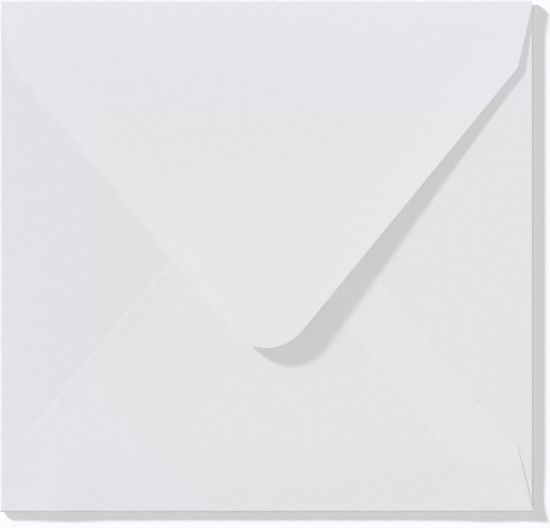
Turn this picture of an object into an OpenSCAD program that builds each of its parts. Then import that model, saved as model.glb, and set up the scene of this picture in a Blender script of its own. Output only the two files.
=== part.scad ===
// Paper envelope, folded and glued from one sheet, empty and lying flap side up.
// +X points right, +Y points at the top fold and +Z up. The origin is under the
// middle of the envelope, on the surface that it lies on.

/* [Envelope] */
// Width over the two side folds
env_w = 140; // [110:1:190]
// Height from the bottom fold to the top fold
env_h = 134.4; // [110:0.1:180]
// Thickness of the paper
paper_t = 0.2; // [0.15:0.01:0.3]
// Thickness of the body over its side and bottom folds
body_t = 1; // [0.8:0.1:2.4]
// Slot that keeps neighbouring folds apart at each corner
corner_gap = 0.3; // [0.2:0.1:1]
// Rounding of the flaps' points
tip_r = 11.7; // [4:0.1:16]
// Rounding of the flaps' shoulders
shoulder_r = 3; // [1:0.5:6]

/* [Top flap] */
// How far below the middle the flap's point would lie if it were sharp
top_point = 31; // [16:0.1:40]
// Length of the slanted shoulder, measured down from the top fold
top_shoulder_len = 17.8; // [8:0.1:30]
// How far the shoulder leans in from the side fold
top_shoulder_in = 4.1; // [1.5:0.1:8]
// Gap between the body and the flap where the flap leaves its fold
top_lift = 0.3; // [0.2:0.1:1]
// Angle at which the loose flap stands open
top_angle = 1.3; // [0.5:0.02:6]

/* [Bottom flap] */
// How far above the middle the flap's point would lie if it were sharp
bottom_point = 30.3; // [22:0.1:34]
// Length of the slanted shoulder, measured up from the bottom fold
bottom_shoulder_len = 17.2; // [10:0.1:24]
// How far the shoulder leans in from the side fold
bottom_shoulder_in = 4.2; // [1.5:0.1:8]
// How far the flap stays level past the edge of a side flap under it
step_rest = 0.2; // [0.1:0.1:0.5]
// Width of the slope that then takes it down by the paper's thickness
step_w = 0.5; // [0.3:0.1:1]
// How far the top and bottom flaps start in from the side folds
flap_inset = 0.2; // [0.1:0.1:1]

/* [Side flaps] */
// How far from the centre line each flap's point would lie if it were sharp
side_point = 7; // [5:0.1:12]
// Depth of the shoulder, measured in from the side fold
side_shoulder_len = 12.1; // [6:0.1:18]
// How far the shoulder leans in from the fold's end
side_shoulder_in = 0.9; // [0.4:0.1:4]

/* [Hidden] */
$fn = 96;

half_w = env_w / 2;
half_h = env_h / 2;
fold_r = body_t / 2;
top_fold_r = (body_t + top_lift + paper_t) / 2;
// Where the flat panel turns into each fold
side_line = half_w - fold_r;
bottom_line = half_h - fold_r;
top_line = half_h - top_fold_r;
flap_base = half_w - flap_inset;
// The side folds end short of the top fold and of the bottom flap's step
side_end = min(top_line, bottom_line - step_rest - step_w) - corner_gap;
// Longer than the envelope in any direction
reach = env_w + env_h;
// A rounding stays this far inside the edges that it joins, so that it cuts across them
hair = 0.004;
// Glued sheets run this far into each other
glued = 0.01;

paper = [0.9, 0.9, 0.92];

function unit(v) = v / norm(v);
function half_angle(a, p, b) = acos(unit(a - p) * unit(b - p)) / 2;
function before(points, i) = points[(i + len(points) - 1) % len(points)];
function after(points, i) = points[(i + 1) % len(points)];

// Centre of a rounding of radius r in corner i
function rounding_centre(points, i, r) =
    let (a = before(points, i), p = points[i], b = after(points, i))
    p + unit(unit(a - p) + unit(b - p)) * r / sin(half_angle(a, p, b));

// Where a rounding of radius r in corner i meets the edge towards point q
function rounding_end(points, i, r, q) =
    let (a = before(points, i), p = points[i], b = after(points, i))
    p + unit(q - p) * r / tan(half_angle(a, p, b));

// Convex outline with corner i rounded to radii[i], or sharp where that is 0
module rounded_outline(points, radii) {
    corners = [0 : len(points) - 1];
    polygon([
        for (i = corners)
            for (q = radii[i] > 0 ? [before(points, i), after(points, i)] : [points[i]])
                radii[i] > 0 ? rounding_end(points, i, radii[i], q) : q
    ]);
    for (i = corners)
        if (radii[i] > 0)
            translate(rounding_centre(points, i, radii[i])) circle(r = radii[i] - hair);
}

// Outline of the top or bottom flap, drawn point up and run on down over its fold.
// base is where the fold ends and the shoulders start to lean in.
module flap_outline(base, point, shoulder_len, shoulder_in) {
    rounded_outline(
        [
            [-flap_base, -env_h],
            [flap_base, -env_h],
            [flap_base, -base],
            [half_w - shoulder_in, -half_h + shoulder_len],
            [0, point],
            [-half_w + shoulder_in, -half_h + shoulder_len],
            [-flap_base, -base]
        ],
        [0, 0, 0, shoulder_r, tip_r, shoulder_r, 0]
    );
}

// Outline of the right side flap, run on to the right over its fold
side_corner = [half_w - side_shoulder_len, side_end - side_shoulder_in];
side_slant = side_shoulder_in / (side_line - side_corner[0]);
side_far = [env_w, side_corner[1] + side_slant * (env_w - side_corner[0])];
side_points = [
    [side_far[0], -side_far[1]],
    side_far,
    side_corner,
    [side_point, 0],
    [side_corner[0], -side_corner[1]]
];

module both_sides() {
    children();
    mirror([1, 0, 0]) children();
}

// Section of a flap: half a turn of paper round the fold, whose axis is the origin,
// and the flap itself, run out to the left and lifted by an angle
module flap_section(r, angle) {
    intersection() {
        rotate(-angle) {
            difference() {
                circle(r = r);
                circle(r = r - paper_t);
                rectangle([-2 * r, -2 * r], [0, 2 * r]);
            }
            rectangle([-reach, r - paper_t], [0, r]);
        }
        // The turn starts where the panel ends
        union() {
            rectangle([0, -2 * r], [2 * r, 2 * r]);
            rectangle([-2 * reach, 0], [r, reach]);
        }
    }
    // The same sheet runs on into the panel
    rectangle([-paper_t, -r], [0, paper_t - r]);
}

// Extrudes a section drawn in Y and Z along the top or bottom fold
module across() {
    rotate([90, 0, 90]) linear_extrude(height = 2 * flap_base, center = true) children();
}

// Rectangle between two opposite corners
module rectangle(a, b) {
    polygon([a, [b[0], a[1]], b, [a[0], b[1]]]);
}

// Panel that carries the address, between the four fold lines. At its corners it
// runs out to the ends of the top and bottom folds.
module front_panel() {
    linear_extrude(height = paper_t) {
        rectangle([-side_line, -bottom_line], [side_line, top_line]);
        rectangle([-flap_base, -bottom_line], [flap_base, -side_end - corner_gap]);
        rectangle([-flap_base, side_end + corner_gap], [flap_base, top_line]);
    }
}

// Right side flap with its fold
module side_flap() {
    intersection() {
        translate([side_line, 0, fold_r])
            rotate([90, 0, 0])
                linear_extrude(height = env_h, center = true) flap_section(fold_r, 0);
        linear_extrude(height = reach)
            rounded_outline(side_points, [0, 0, shoulder_r, tip_r, shoulder_r]);
    }
}

// Solid under a sheet that drapes over the right side flap: level at z as far as
// step_rest past the flap's edges, and sloping down from there
module draped_over(z) {
    run = 1.5;
    section = [
        [-reach, z - run * paper_t],
        [step_rest + run * step_w, z - run * paper_t],
        [step_rest, z],
        [-reach, z]
    ];
    intersection_for (i = [1 : len(side_points) - 1]) {
        a = side_points[i];
        b = after(side_points, i);
        translate(a)
            rotate([90, 0, atan2(b[1] - a[1], b[0] - a[0]) + 90])
                linear_extrude(height = 2 * reach, center = true)
                    polygon([for (q = section) [-q[0], q[1]]]);
    }
}

// Bottom flap with its fold, glued down where it lies on the side flaps
module bottom_flap() {
    intersection() {
        difference() {
            union() {
                mirror([0, 1, 0])
                    across() translate([bottom_line, fold_r]) flap_section(fold_r, 0);
                both_sides() draped_over(body_t + paper_t);
            }
            both_sides() draped_over(body_t - glued);
        }
        linear_extrude(height = reach)
            flap_outline(bottom_line, bottom_point, bottom_shoulder_len, bottom_shoulder_in);
    }
}

// Top flap with its fold, loose and standing open a little over the other flaps
module top_flap() {
    intersection() {
        across() translate([top_line, top_fold_r]) flap_section(top_fold_r, top_angle);
        mirror([0, 1, 0])
            linear_extrude(height = reach)
                flap_outline(top_line, top_point, top_shoulder_len, top_shoulder_in);
    }
}

module envelope() {
    color(paper) {
        front_panel();
        both_sides() side_flap();
        bottom_flap();
        top_flap();
    }
}

envelope();
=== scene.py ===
import math

import bmesh
import bpy
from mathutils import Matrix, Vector


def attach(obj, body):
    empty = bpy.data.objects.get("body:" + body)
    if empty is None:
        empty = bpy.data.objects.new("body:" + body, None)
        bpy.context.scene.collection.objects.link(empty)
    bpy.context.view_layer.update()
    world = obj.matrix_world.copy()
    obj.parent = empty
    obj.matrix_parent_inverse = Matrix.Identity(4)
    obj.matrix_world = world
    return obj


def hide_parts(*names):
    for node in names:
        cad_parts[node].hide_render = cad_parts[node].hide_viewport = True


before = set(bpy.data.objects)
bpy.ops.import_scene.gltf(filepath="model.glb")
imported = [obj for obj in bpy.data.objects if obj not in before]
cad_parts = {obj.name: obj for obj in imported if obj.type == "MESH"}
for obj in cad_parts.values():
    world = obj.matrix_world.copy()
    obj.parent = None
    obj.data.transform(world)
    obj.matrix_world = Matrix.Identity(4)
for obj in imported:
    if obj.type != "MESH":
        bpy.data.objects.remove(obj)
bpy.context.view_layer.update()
mm = 0.001

# The sheet in millimetres, folded along nearly the same lines as the part's source.
# Levels and radii are those of the middle of the paper.
sheet = {
    "paper": 0.2,
    "restLevel": 0.1,  # the front panel, lying on the table
    "sideLine": 69.5,  # where the panel turns into its folds
    "bottomLine": 66.7,
    "topLine": 66.55,
    "foldRadius": 0.4,
    "topFoldRadius": 0.53,
    "flapBase": 69.8,  # half the width of the top and bottom folds
    "sideEnd": 65.7,  # half the length of the side folds
    "endMargin": 0.1,  # what lies this little past a side fold's end still folds with it
    "tipRadius": 12.5,
    "shoulderRadius": 3.0,
}

# Each flap in the finished envelope: where its shoulder ends, where its point would be if
# it were sharp, and how it lies. Two numbers say where an effect starts and where it is
# full, or where it starts to fade and where it is gone.
sideFlap = {
    "shoulder": (57.9, 64.8),
    "point": 7.0,
    "dip": 0.2,  # how far its lower edge is bent down under the bottom flap
    "dipWidthLeft": 32.0,
    "dipWidthRight": 12.0,
    "dipTop": (-2, -14),
    "dipBottom": (-65, -60),
    "settle": 0.022,  # how much lower it lies where the bottom flap covers it
    "settleWidth": 0.1,
}
bottomFlap = {
    "shoulder": (65.8, -50.0),
    "point": 30.3,
    "gluedGap": 0.012,
    "pressed": 0.16,  # how far its glued edge is pressed in where it shows
    "pressWidth": 0.45,
    "pressFade": (3, 15),  # measured in from the edge
    "showsLeft": (-54, -44),
    "showsRight": (-44, -52),
    "proud": 0.014,  # how far even a flush edge stands above the paper beside it
    "clearance": 0.025,  # between the thinned edge and the paper under it
    "thinnest": 0.004,
    "thinPart": 3,  # the edge is also no thinner than its room divided by this
    "thinPast": (2.8, 5),  # measured out from a side flap's edge
    "thinDown": (-66.1, -66.5),  # full paper again where the fold starts
    "crushed": (0.03, 0.004),  # how far the cut edge is rounded off, left and right
    "crushWidth": 0.4,
    "stepRest": 0.3,  # the flap stays up this far past a side flap's edge
    "stepWidth": 15.0,
    "shoulderLift": 0.17,  # the loose shoulder on the right
    "shoulderFrom": (-47, -56),
    "shoulderWidth": 7,
}
topFlap = {
    "shoulder": (65.9, 49.4),
    "point": -31.0,
    "rise": 0.0042,  # for each millimetre below the fold
    "foldSpring": 0.25,
    "foldReach": 8.0,
    "tipCurl": 1.25,
    "tipFrom": 24.0,
    "tipReach": 61.0,
    "tipPower": 1.3,
    "rightCurl": 0.2,
    "rightReach": 14.0,
    "rightDown": (0, 18),
    "rightAcross": (0, 30),
    "leftDroop": 0.16,
    "leftReach": 8.0,
    "leftDown": (6, 26),
    "leftAcross": (0, 20),
}


def smooth(value, start, end):
    t = min(max((value - start) / (end - start), 0.0), 1.0)
    return t * t * (3 - 2 * t)


def ramp(value, width):
    return min(max(value / width, 0.0), 1.0)


# Where a point of the flat sheet lies once the paper has turned round its fold:
# how far from the centre, how far round the fold, and how far up
def foldOver(reach, line, radius):
    past = reach - line
    if past <= 0:
        return reach, 0.0, 0.0
    turn = min(past / radius, math.pi)
    back = max(past - math.pi * radius, 0.0)
    return line + radius * math.sin(turn) - back, turn, radius * (1 - math.cos(turn))


# The same the other way: how far out a point of a folded flap lies in the flat sheet
def flatReach(place, line, radius):
    return 2 * line + math.pi * radius - place


def sideReach(x):
    return flatReach(x, sheet["sideLine"], sheet["foldRadius"])


def bottomReach(y):
    return flatReach(-y, sheet["bottomLine"], sheet["foldRadius"])


def topReach(y):
    return flatReach(y, sheet["topLine"], sheet["topFoldRadius"])


# Distance outside a flap's slanted edges, which meet in a rounded point.
# The flap lies along its axis; across is the distance from that axis.
def outsideWedge(along, across, point, shoulderAlong, shoulderAcross):
    length = math.hypot(shoulderAlong - point, shoulderAcross)
    lean = (shoulderAlong - point) / length
    spread = shoulderAcross / length
    across = abs(across)
    edge = across * lean - (along - point) * spread
    centre = point + sheet["tipRadius"] / spread
    if (centre - along) * lean > across * spread:
        return math.hypot(centre - along, across) - sheet["tipRadius"]
    return edge


def outsideSide(x, y):
    shoulder = sideFlap["shoulder"]
    wedge = outsideWedge(abs(x), y, sideFlap["point"], shoulder[0], shoulder[1])
    slant = (sheet["sideEnd"] - shoulder[1]) / (sheet["sideLine"] - shoulder[0])
    end = abs(y) - shoulder[1] - slant * (abs(x) - shoulder[0])
    return max(wedge, end)


def outsideBottom(x, y):
    shoulder = bottomFlap["shoulder"]
    wedge = outsideWedge(-y, x, -bottomFlap["point"], -shoulder[1], shoulder[0])
    slant = (sheet["flapBase"] - shoulder[0]) / (sheet["bottomLine"] + shoulder[1])
    end = abs(x) - shoulder[0] - slant * (shoulder[1] - y)
    return max(wedge, end)


def outsideTop(x, y):
    shoulder = topFlap["shoulder"]
    return outsideWedge(y, x, topFlap["point"], shoulder[1], shoulder[0])


# How the envelope lies between its folds. Places for the border lift are measured out from
# the middle, and all others in from the folds.
body = {
    "borderLift": 0.35,
    "borderAcross": (20, 70),
    "borderAlong": (20, 68),
    "sag": 0.25,
    "sagLeft": (4, 56),
    "sagRight": (4, 66),
    "sagTop": (2, 36),
    "sagBottom": (-8, 44),
    "bendReach": 5.0,
    "leftSpring": 0.14,
    "leftFromTop": (20, 110),
    "leftFromBottom": (0, 12),
    "leftFade": (8, 60),
    "rightDrop": 0.07,
    "rightFromTop": (6, 30),
    "rightEnd": (60, 110),  # measured from the top fold as well
    "rightFade": (10, 50),
    "ridge": 0.025,  # the paper stands up this far along the right and bottom folds
    "ridgeWidth": 0.7,
}


# The front panel touches the table in the middle and rises a little towards its borders
def borderLift(x, y):
    across = smooth(abs(x), *body["borderAcross"])
    return body["borderLift"] * max(across, smooth(abs(y), *body["borderAlong"]))


# How far the back stands above its plain level: it springs up beside the left fold, drops
# beside the right one and sags in the middle
def backSwell(x, y):
    fromLeft = x + sheet["sideLine"]
    fromRight = sheet["sideLine"] - x
    fromBottom = y + sheet["bottomLine"]
    fromTop = sheet["topLine"] - y
    left = body["leftSpring"] * (1 - math.exp(-fromLeft / body["bendReach"]))
    left *= smooth(fromTop, *body["leftFromTop"]) * smooth(fromBottom, *body["leftFromBottom"])
    left *= 1 - smooth(fromLeft, *body["leftFade"])
    right = -body["rightDrop"] * (1 - math.exp(-fromRight / body["bendReach"]))
    right *= smooth(fromTop, *body["rightFromTop"]) * (1 - smooth(fromTop, *body["rightEnd"]))
    right *= 1 - smooth(fromRight, *body["rightFade"])
    ridge = body["ridge"] * max(1 - min(fromRight, fromBottom) / body["ridgeWidth"], 0.0)
    hollow = smooth(fromLeft, *body["sagLeft"]) * smooth(fromRight, *body["sagRight"])
    hollow *= smooth(fromTop, *body["sagTop"]) * smooth(fromBottom, *body["sagBottom"])
    return left + right + ridge - body["sag"] * hollow


# A side flap's lower edge gives way under the bottom flap
def edgeDip(x, y):
    inside = max(-outsideSide(x, y), 0.0)
    width = sideFlap["dipWidthRight"] if x > 0 else sideFlap["dipWidthLeft"]
    ends = smooth(y, *sideFlap["dipTop"]) * smooth(y, *sideFlap["dipBottom"])
    return sideFlap["dip"] * max(1 - inside / width, 0.0) * ends


# The bottom flap's edge shows on the left but hardly on the right. Its right shoulder
# is loose, and its left one is pressed in flush.
def edgeShows(x, y):
    return smooth(y, *(bottomFlap["showsLeft"] if x < 0 else bottomFlap["showsRight"]))


# How far the bottom flap's glued edge, a distance inside its outline, is pressed in
def pressedIn(x, y, inside):
    flush = sheet["paper"] + bottomFlap["gluedGap"] - bottomFlap["proud"]
    depth = flush + (bottomFlap["pressed"] - flush) * edgeShows(x, y)
    return depth * (1 - smooth(inside, *bottomFlap["pressFade"]))


def sideLevel(x, y):
    inside = -outsideBottom(x, y)
    under = pressedIn(x, y, inside) * ramp(inside, bottomFlap["pressWidth"])
    under += sideFlap["settle"] * ramp(inside, sideFlap["settleWidth"])
    return backSwell(x, y) - edgeDip(x, y) - under


# The bottom flap lies on the side flaps and comes down softly between them
def bottomLevel(x, y):
    inside = -outsideBottom(x, y)
    off = outsideSide(x, y) - bottomFlap["stepRest"]
    up = sheet["paper"] + bottomFlap["gluedGap"] - edgeDip(x, y)
    up *= 1 - smooth(off, 0, bottomFlap["stepWidth"])
    loose = smooth(y, *bottomFlap["shoulderFrom"]) if x > 0 else 0.0
    loose *= 1 - smooth(inside, 0, bottomFlap["shoulderWidth"])
    crush = bottomFlap["crushed"][x > 0] * max(1 - inside / bottomFlap["crushWidth"], 0.0)
    down = crush * edgeShows(x, y) + pressedIn(x, y, inside)
    return backSwell(x, y) + up + bottomFlap["shoulderLift"] * loose - down


# How thick the bottom flap's paper is. Its glued edge is pressed thin, so that it lies
# on the side flaps without cutting into them.
def bottomPaper(x, y):
    room = bottomLevel(x, y) - sideLevel(x, y)
    thin = max(room - bottomFlap["clearance"], room / bottomFlap["thinPart"])
    thin = min(max(thin, bottomFlap["thinnest"]), sheet["paper"])
    past = smooth(outsideSide(x, y), *bottomFlap["thinPast"])
    full = max(past, smooth(y, *bottomFlap["thinDown"]))
    return thin + (sheet["paper"] - thin) * full


def topRise(x, y):
    past = sheet["topLine"] - y
    rise = topFlap["rise"] * past
    rise += topFlap["foldSpring"] * (1 - math.exp(-past / topFlap["foldReach"]))
    low = max((past - topFlap["tipFrom"]) / topFlap["tipReach"], 0.0)
    rise += topFlap["tipCurl"] * low ** topFlap["tipPower"]
    inside = -outsideTop(x, y)
    if x > 0:
        near = max(1 - inside / topFlap["rightReach"], 0.0) ** 2
        near *= smooth(past, *topFlap["rightDown"]) * smooth(x, *topFlap["rightAcross"])
        return rise + topFlap["rightCurl"] * near
    near = max(1 - inside / topFlap["leftReach"], 0.0) ** 2
    near *= smooth(past, *topFlap["leftDown"]) * smooth(-x, *topFlap["leftAcross"])
    return rise - topFlap["leftDroop"] * near


# Painted light and shade: how much paler or darker each part of the sheet is painted, and how that
# changes to the right, per metre, and towards one end
paintedLightAndShade = {
    "panel": {"level": 0.0, "right": 0.0, "end": 0.0, "from": 0, "to": 1},
    "top": {"level": 0.009, "right": 0.12, "end": 0.012, "from": 40, "to": 66},
    "bottom": {"level": 0.0, "right": -0.05, "end": -0.016, "from": -40, "to": -68},
    "left": {"level": -0.013, "right": 0.12, "end": 0.012, "from": 50, "to": -60},
    "right": {"level": -0.005, "right": 0.12, "end": -0.005, "from": 20, "to": -60},
}

# Painted highlight: how much paler a flap is painted where another lies close behind it
paintedHighlight = {
    "bottomLeft": 0.002,
    "bottomRight": 0.017,
    "bottomFrom": -0.1,
    "topLeft": 0.014,  # the top flap's left border, which lies closest
    "topInside": (5, 15),
    "topAcross": (0, 20),
}

# Where a cooler light is painted into the paper's colour: towards the top, the left and the lower
# left corner
paintedCoolLight = {"top": (32, 46), "left": (32, 56), "corner": (66, 92)}


# Painted light and shade at a point of the sheet, with the painted highlight where another flap
# lies close behind
def paintedPaleness(part, x, y):
    values = paintedLightAndShade[part]
    paintedPale = values["level"] + values["right"] * x * mm
    paintedPale += values["end"] * smooth(y, values["from"], values["to"])
    if part == "bottom":
        covered = 1 - smooth(outsideSide(x, y), paintedHighlight["bottomFrom"], bottomFlap["stepRest"])
        paintedPale += covered * (paintedHighlight["bottomRight"] if x > 0 else paintedHighlight["bottomLeft"])
    if part == "top" and x < 0:
        covered = 1 - smooth(-outsideTop(x, y), *paintedHighlight["topInside"])
        paintedPale += paintedHighlight["topLeft"] * covered * smooth(-x, *paintedHighlight["topAcross"])
    return paintedPale


# How strongly the cooler light is painted in at a point
def paintedCoolness(x, y):
    sides = max(smooth(y, *paintedCoolLight["top"]), smooth(-x, *paintedCoolLight["left"]))
    return max(sides, smooth(-x - y, *paintedCoolLight["corner"]))


# Which part of the sheet a point of the flat blank belongs to
def partOf(co):
    if co.y > sheet["topLine"]:
        return "top"
    if co.y < -sheet["bottomLine"]:
        return "bottom"
    if abs(co.x) > sheet["sideLine"]:
        return "right" if co.x > 0 else "left"
    return "panel"


def foldVertex(co):
    x, y = co.x, co.y
    up = extra = 0.0
    if y > sheet["topLine"]:
        y, turn, up = foldOver(y, sheet["topLine"], sheet["topFoldRadius"])
        extra = topRise(x, y) if turn >= math.pi else 0.0
    elif y < -sheet["bottomLine"]:
        y, turn, up = foldOver(-y, sheet["bottomLine"], sheet["foldRadius"])
        y = -y
        if turn >= math.pi:
            # Thinned from below, so the middle of the paper moves up
            extra = bottomLevel(x, y) + (sheet["paper"] - bottomPaper(x, y)) / 2
        else:
            extra = bottomLevel(x, -sheet["bottomLine"]) * (1 - math.cos(turn)) / 2
    elif abs(x) > sheet["sideLine"] and abs(y) < sheet["sideEnd"] + sheet["endMargin"]:
        side = 1 if x > 0 else -1
        x, turn, up = foldOver(abs(x), sheet["sideLine"], sheet["foldRadius"])
        x *= side
        if turn >= math.pi:
            extra = sideLevel(x, y)
        else:
            extra = sideLevel(side * sheet["sideLine"], y) * (1 - math.cos(turn)) / 2
    return Vector((x, y, sheet["restLevel"] + borderLift(x, y) + up + extra))


# How the flat blank is divided before it is folded
cuts = {
    "roundSteps": 24,
    "edgeRow": 0.15,  # a narrow row of faces along every cut edge
    "grid": 2.0,
    "columns": 68,  # to each side of the middle
    "rows": 83,
    "foldRows": 12,
    "foldMargin": 0.15,  # keeps a fold's shading off the flat paper
    "stepRows": (-0.6, -0.1, 0.8),  # in the bottom flap, out from a side flap's edge
    "sideRows": (0.35, 0.02, -0.1, -0.22),  # in a side flap, out from the bottom flap's edge
    "leftRow": 0.04,  # keeps the slope's shading from showing beside the left edge
    "cornerReach": 4,  # the rows beside a shoulder's end start this far above it
    "near": 0.01,  # points this close count as the same place
    "onPlane": 1e-4,
    "weld": 0.004,
}


# The blank's outline, anticlockwise from the bottom flap's point
def blankOutline():
    turn = math.pi * sheet["foldRadius"]
    topTurn = math.pi * sheet["topFoldRadius"]
    half = [
        (bottomFlap["shoulder"][0], -bottomReach(bottomFlap["shoulder"][1])),
        (sheet["flapBase"], -sheet["bottomLine"] - turn),
        (sheet["flapBase"], -sheet["bottomLine"]),
        (sheet["sideLine"], -sheet["sideEnd"]),
        (sheet["sideLine"] + turn, -sheet["sideEnd"]),
        (sideReach(sideFlap["shoulder"][0]), -sideFlap["shoulder"][1]),
        (sideReach(sideFlap["point"]), 0),
        (sideReach(sideFlap["shoulder"][0]), sideFlap["shoulder"][1]),
        (sheet["sideLine"] + turn, sheet["sideEnd"]),
        (sheet["sideLine"], sheet["sideEnd"]),
        (sheet["flapBase"], sheet["topLine"]),
        (sheet["flapBase"], sheet["topLine"] + topTurn),
        (topFlap["shoulder"][0], topReach(topFlap["shoulder"][1])),
    ]
    points = [(0, -bottomReach(bottomFlap["point"]))] + half
    points += [(0, topReach(topFlap["point"]))]
    return points + [(-x, y) for x, y in reversed(half)]


def isPoint(co):
    return abs(co.x) < cuts["near"] or abs(co.y) < cuts["near"]


def isShoulder(co):
    places = [
        (topFlap["shoulder"][0], topReach(topFlap["shoulder"][1])),
        (bottomFlap["shoulder"][0], bottomReach(bottomFlap["shoulder"][1])),
        (sideReach(sideFlap["shoulder"][0]), sideFlap["shoulder"][1]),
    ]
    return any(
        abs(abs(co.x) - x) < cuts["near"] and abs(abs(co.y) - y) < cuts["near"]
        for x, y in places
    )


def roundCorners(bm, radius, chosen):
    for v in [v for v in bm.verts if chosen(v.co)]:
        a, b = [e.other_vert(v).co - v.co for e in v.link_edges]
        offset = radius / math.tan(a.angle(b) / 2)
        bmesh.ops.bevel(
            bm, geom=[v], affect="VERTICES", offset_type="OFFSET", offset=offset,
            segments=cuts["roundSteps"], profile=0.5, material=-1,
        )


def cut(bm, point, normal, inside=None):
    faces = [f for f in bm.faces if inside is None or inside(f.calc_center_median())]
    # Without repeats and always in the same order
    edges = list(dict.fromkeys(e for f in faces for e in f.edges))
    verts = list(dict.fromkeys(v for f in faces for v in f.verts))
    bmesh.ops.bisect_plane(
        bm, geom=verts + edges + faces, dist=cuts["onPlane"],
        plane_co=(point[0], point[1], 0), plane_no=(normal[0], normal[1], 0),
    )


def cutGrid(bm):
    for i in range(-cuts["columns"], cuts["columns"] + 1):
        cut(bm, (i * cuts["grid"], 0), (1, 0))
    for i in range(-cuts["rows"], cuts["rows"]):
        cut(bm, (0, i * cuts["grid"]), (0, 1))
    for line, radius, normal in (
        (sheet["sideLine"], sheet["foldRadius"], (1, 0)),
        (-sheet["sideLine"], -sheet["foldRadius"], (1, 0)),
        (-sheet["bottomLine"], -sheet["foldRadius"], (0, 1)),
        (sheet["topLine"], sheet["topFoldRadius"], (0, 1)),
    ):
        turn = math.pi * radius
        rows = [turn * i / cuts["foldRows"] for i in range(cuts["foldRows"] + 1)]
        margin = math.copysign(cuts["foldMargin"], radius)
        ridge = math.copysign(body["ridgeWidth"], radius)
        for row in [-margin] + rows + [turn + margin, turn + ridge]:
            cut(bm, ((line + row) * normal[0], (line + row) * normal[1]), normal)


# Rows of cuts where the bottom flap steps down past the side flaps, and where the side
# flaps are pressed in under its edges
def cutSteps(bm):
    def onBottom(c):
        return c.y < -bottomReach(-sheet["bottomLine"])

    shoulder = sideFlap["shoulder"]
    length = math.hypot(shoulder[0] - sideFlap["point"], shoulder[1])
    across = shoulder[1] / length
    along = (shoulder[0] - sideFlap["point"]) / length
    for side in (1, -1):
        for out in sorted([*cuts["stepRows"], bottomFlap["stepRest"]]):
            point = (side * (sideFlap["point"] - out * across), -bottomReach(out * -along))
            cut(bm, point, (-side * across, along), onBottom)
    shoulder = bottomFlap["shoulder"]
    length = math.hypot(shoulder[0], bottomFlap["point"] - shoulder[1])
    across = shoulder[0] / length
    along = (bottomFlap["point"] - shoulder[1]) / length
    end = Vector((shoulder[1] + sheet["bottomLine"], sheet["flapBase"] - shoulder[0]))
    end.normalize()
    for side in (1, -1):
        def onHalf(c):
            return onBottom(c) and c.x * side > 0

        def onSide(c):
            return c.x * side > sideReach(sheet["sideLine"])

        def onCorner(c):
            return onSide(c) and c.y < shoulder[1] + cuts["cornerReach"]

        far = bottomFlap["point"] - bottomFlap["crushWidth"] / across
        cut(bm, (0, -bottomReach(far)), (side * along, -across), onHalf)
        outs = [*cuts["sideRows"], -bottomFlap["pressWidth"]]
        if side < 0:
            outs.append(cuts["leftRow"])
        for out in outs:
            far = bottomFlap["point"] + out / across
            cut(bm, (side * sideReach(0), far), (-side * along, across), onSide)
        for out in outs:
            place = (side * sideReach(shoulder[0] + out * end.x), shoulder[1] + out * end.y)
            cut(bm, place, (-side * end.x, end.y), onCorner)


print("cutting the blank")
bm = bmesh.new()
bm.faces.new([bm.verts.new((x, y, 0)) for x, y in blankOutline()])
roundCorners(bm, sheet["tipRadius"], isPoint)
roundCorners(bm, sheet["shoulderRadius"], isShoulder)
bmesh.ops.inset_region(bm, faces=bm.faces, thickness=cuts["edgeRow"], use_even_offset=True)
cutGrid(bm)
cutSteps(bm)
bmesh.ops.remove_doubles(bm, verts=bm.verts, dist=cuts["weld"])
bmesh.ops.triangulate(bm, faces=[f for f in bm.faces if len(f.verts) > 4])
print("blank faces", len(bm.faces))

print("folding the sheet")
uv = bm.loops.layers.uv.new("blank")
for face in bm.faces:
    for loop in face.loops:
        loop[uv].uv = loop.vert.co.xy * mm
# The painted light and shade, and the painted cooler light, are kept on each point of the sheet
paintedPale = bm.verts.layers.float.new("paintedPale")
paintedCool = bm.verts.layers.float.new("paintedCool")
thickness = bm.verts.layers.deform.verify()
flapStart = -sheet["bottomLine"] - math.pi * sheet["foldRadius"] - cuts["near"]
for v in bm.verts:
    part = partOf(v.co)
    onFlap = v.co.y < flapStart
    v.co = foldVertex(v.co)
    v[thickness][0] = bottomPaper(v.co.x, v.co.y) / sheet["paper"] if onFlap else 1.0
    v[paintedPale] = paintedPaleness(part, v.co.x, v.co.y)
    v[paintedCool] = paintedCoolness(v.co.x, v.co.y)
bmesh.ops.recalc_face_normals(bm, faces=bm.faces)
bmesh.ops.scale(bm, vec=(mm, mm, mm), verts=bm.verts)
for face in bm.faces:
    face.smooth = True
for edge in bm.edges:
    edge.smooth = not edge.is_boundary
# The front panel lies lowest and has to face down
lowest = [f for f in bm.faces if f.calc_center_median().z < 0.5 * mm]
if sum(f.normal.z * f.calc_area() for f in lowest) > 0:
    bmesh.ops.reverse_faces(bm, faces=bm.faces)
mesh = bpy.data.meshes.new("foldedSheet")
bm.to_mesh(mesh)
bm.free()
foldedSheet = bpy.data.objects.new("foldedSheet", mesh)
bpy.context.scene.collection.objects.link(foldedSheet)
foldedSheet.vertex_groups.new(name="thickness")
thick = foldedSheet.modifiers.new("paper", "SOLIDIFY")
thick.thickness = sheet["paper"] * mm
thick.offset = 0
thick.vertex_group = "thickness"

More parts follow.
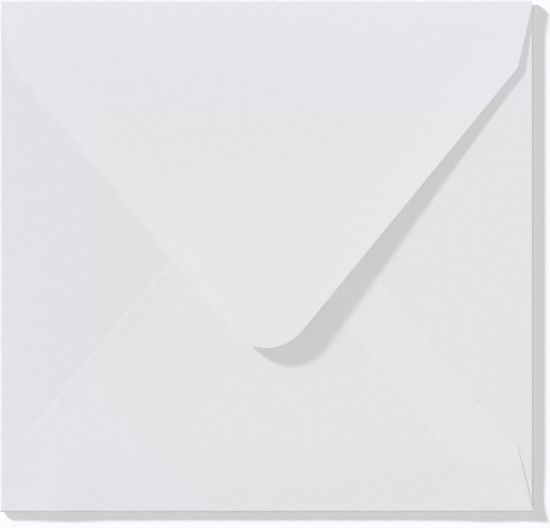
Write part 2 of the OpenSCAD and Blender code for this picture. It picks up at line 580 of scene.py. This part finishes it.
print("making the paper")
paperLook = {
    "colour": (0.7432, 0.743, 0.7585),
    # The colour of the painted cooler light, added in where that light is painted
    "paintedCoolLight": (0.0075, 0.0, 0.0215),  # added where the paper looks cooler
    "shade": 0.93,
    "roughness": 0.6,
    "specular": 0.25,
    "sheen": 0.05,
    "sheenRoughness": 0.4,
    "toothHeight": 0.02,  # in millimetres, as the grains' sizes are
    "fleckStretch": (0.35, 1.0, 1.0),
    "fleckRange": (0.6, 0.72),
    "grains": {
        "fleck": {"size": 0.5, "detail": 3, "roughness": 0.6, "shade": 0.018},
        "tooth": {"size": 0.38, "detail": 3, "roughness": 0.6, "shade": 0.052},
        "mottle": {"size": 1.6, "detail": 2, "roughness": 0.5, "shade": 0.068},
        "cloud": {"size": 22.0, "detail": 2, "roughness": 0.5, "shade": 0.012},
    },
}
material = bpy.data.materials.new("pearlPaper")
material.use_nodes = True
nodes = material.node_tree.nodes
links = material.node_tree.links
shader = nodes["Principled BSDF"]
shader.inputs["Roughness"].default_value = paperLook["roughness"]
shader.inputs["Specular IOR Level"].default_value = paperLook["specular"]
shader.inputs["Sheen Weight"].default_value = paperLook["sheen"]
shader.inputs["Sheen Roughness"].default_value = paperLook["sheenRoughness"]
place = nodes.new("ShaderNodeUVMap")
place.uv_map = "blank"


def noiseNode(values):
    node = nodes.new("ShaderNodeTexNoise")
    node.inputs["Scale"].default_value = 1 / (values["size"] * mm)
    node.inputs["Detail"].default_value = values["detail"]
    node.inputs["Roughness"].default_value = values["roughness"]
    links.new(place.outputs["UV"], node.inputs["Vector"])
    return node


def attributeNode(name):
    node = nodes.new("ShaderNodeAttribute")
    node.attribute_name = name
    return node


def mathNode(operation, first, second):
    node = nodes.new("ShaderNodeMath")
    node.operation = operation
    for socket, value in zip(node.inputs, (first, second)):
        if isinstance(value, bpy.types.NodeSocket):
            links.new(value, socket)
        else:
            socket.default_value = value
    return node.outputs[0]


noises = {name: noiseNode(values) for name, values in paperLook["grains"].items()}
grain = {name: node.outputs["Fac"] for name, node in noises.items()}
stretch = nodes.new("ShaderNodeMapping")
stretch.inputs["Scale"].default_value = paperLook["fleckStretch"]
links.new(place.outputs["UV"], stretch.inputs["Vector"])
links.new(stretch.outputs["Vector"], noises["fleck"].inputs["Vector"])
sparse = nodes.new("ShaderNodeMapRange")
sparse.inputs["From Min"].default_value = paperLook["fleckRange"][0]
sparse.inputs["From Max"].default_value = paperLook["fleckRange"][1]
links.new(grain["fleck"], sparse.inputs["Value"])
grain["fleck"] = sparse.outputs["Result"]
# The painted light and shade is added to the paper's base level, and then each grain
shade = mathNode("ADD", attributeNode("paintedPale").outputs["Fac"], paperLook["shade"])
for name, values in paperLook["grains"].items():
    total = mathNode("MULTIPLY_ADD", grain[name], values["shade"])
    links.new(shade, total.node.inputs[2])
    shade = total
# The painted cooler light is added to the paper's colour
colourWithPaintedCool = nodes.new("ShaderNodeVectorMath")
colourWithPaintedCool.operation = "MULTIPLY_ADD"
colourWithPaintedCool.inputs[1].default_value = paperLook["paintedCoolLight"]
colourWithPaintedCool.inputs[2].default_value = paperLook["colour"]
links.new(attributeNode("paintedCool").outputs["Fac"], colourWithPaintedCool.inputs[0])
tint = nodes.new("ShaderNodeVectorMath")
tint.operation = "SCALE"
links.new(colourWithPaintedCool.outputs[0], tint.inputs[0])
links.new(shade, tint.inputs["Scale"])
links.new(tint.outputs[0], shader.inputs["Base Color"])
toothBump = nodes.new("ShaderNodeBump")
toothBump.inputs["Strength"].default_value = 1
toothBump.inputs["Distance"].default_value = paperLook["toothHeight"] * mm
links.new(grain["tooth"], toothBump.inputs["Height"])
links.new(toothBump.outputs["Normal"], shader.inputs["Normal"])
mesh.materials.append(material)

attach(foldedSheet, "root")
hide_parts("envelope")

print("setting up the table, the light and the camera")
studio = {
    "ambient": 0.2,
    "surround": 1.0,
    "travel": (0.804, -0.595),  # the way the key lamp's light goes, seen from above
    "spread": 5.0,
    "lampDistance": 0.6,
    "lamps": {
        "key": {"share": 0.228, "elevation": 16.7, "colour": (0.975, 1.0, 1.06)},
        "overhead": {"share": 0.577, "elevation": 90.0, "colour": (1.011, 1.0, 0.975)},
    },
    "floorSize": 3.0,
    "floorColour": (0.812, 0.817, 0.832, 1),
    "floorRoughness": 0.9,
    "floorSpecular": 0.1,
    "floorLean": 18.0,  # the floor is shaded as if it leant this far towards the key lamp
    "sensor": 36,
    "lens": 250.0,
    "clip": (0.01, 20),
    "frameWidth": 144.3,  # seen at the envelope's back
    "centre": (2.22, -2.08),
    "backLevel": 1.0,
}
bm = bmesh.new()
bmesh.ops.create_grid(bm, x_segments=1, y_segments=1, size=studio["floorSize"] / 2)
floorMesh = bpy.data.meshes.new("table")
bm.to_mesh(floorMesh)
bm.free()
table = bpy.data.objects.new("table", floorMesh)
bpy.context.scene.collection.objects.link(table)
floorMaterial = bpy.data.materials.new("paleTable")
floorMaterial.use_nodes = True
floorShader = floorMaterial.node_tree.nodes["Principled BSDF"]
floorShader.inputs["Base Color"].default_value = studio["floorColour"]
floorShader.inputs["Roughness"].default_value = studio["floorRoughness"]
floorShader.inputs["Specular IOR Level"].default_value = studio["floorSpecular"]
lean = math.radians(studio["floorLean"])
floorNormal = floorMaterial.node_tree.nodes.new("ShaderNodeCombineXYZ")
floorNormal.inputs["X"].default_value = -studio["travel"][0] * math.sin(lean)
floorNormal.inputs["Y"].default_value = -studio["travel"][1] * math.sin(lean)
floorNormal.inputs["Z"].default_value = math.cos(lean)
floorMaterial.node_tree.links.new(floorNormal.outputs[0], floorShader.inputs["Normal"])
floorMesh.materials.append(floorMaterial)

# Camera, glossy and transmission rays see the bright surround, and all others the ambient
world = bpy.data.worlds.new("studio")
bpy.context.scene.world = world
world.use_nodes = True
worldNodes = world.node_tree.nodes
worldLinks = world.node_tree.links
worldNodes.clear()
output = worldNodes.new("ShaderNodeOutputWorld")
mix = worldNodes.new("ShaderNodeMixShader")
lightPath = worldNodes.new("ShaderNodeLightPath")
seen = lightPath.outputs["Is Camera Ray"]
for name in ("Is Glossy Ray", "Is Transmission Ray"):
    larger = worldNodes.new("ShaderNodeMath")
    larger.operation = "MAXIMUM"
    worldLinks.new(seen, larger.inputs[0])
    worldLinks.new(lightPath.outputs[name], larger.inputs[1])
    seen = larger.outputs[0]
for slot, strength in ((1, studio["ambient"]), (2, studio["surround"])):
    background = worldNodes.new("ShaderNodeBackground")
    background.inputs["Strength"].default_value = strength
    background.inputs["Color"].default_value = (1, 1, 1, 1)
    worldLinks.new(background.outputs[0], mix.inputs[slot])
worldLinks.new(seen, mix.inputs[0])
worldLinks.new(mix.outputs[0], output.inputs["Surface"])

for name, values in studio["lamps"].items():
    elevation = math.radians(values["elevation"])
    flat = math.cos(elevation)
    travel = Vector((studio["travel"][0] * flat, studio["travel"][1] * flat, -math.sin(elevation)))
    lamp = bpy.data.lights.new(name, "SUN")
    lamp.energy = math.pi * values["share"] / math.sin(elevation)
    lamp.angle = math.radians(studio["spread"])
    lamp.color = values["colour"]
    lampObject = bpy.data.objects.new(name, lamp)
    lampObject.rotation_euler = travel.to_track_quat("-Z", "Y").to_euler()
    lampObject.location = -travel * studio["lampDistance"]
    bpy.context.scene.collection.objects.link(lampObject)

camera = bpy.data.cameras.new("camera")
camera.sensor_fit = "HORIZONTAL"
camera.sensor_width = studio["sensor"]
camera.lens = studio["lens"]
camera.clip_start, camera.clip_end = studio["clip"]
cameraObject = bpy.data.objects.new("camera", camera)
height = studio["frameWidth"] * studio["lens"] / studio["sensor"] + studio["backLevel"]
cameraObject.location = (studio["centre"][0] * mm, studio["centre"][1] * mm, height * mm)
bpy.context.scene.collection.objects.link(cameraObject)
bpy.context.scene.camera = cameraObject
bpy.context.scene.view_settings.view_transform = "Standard"
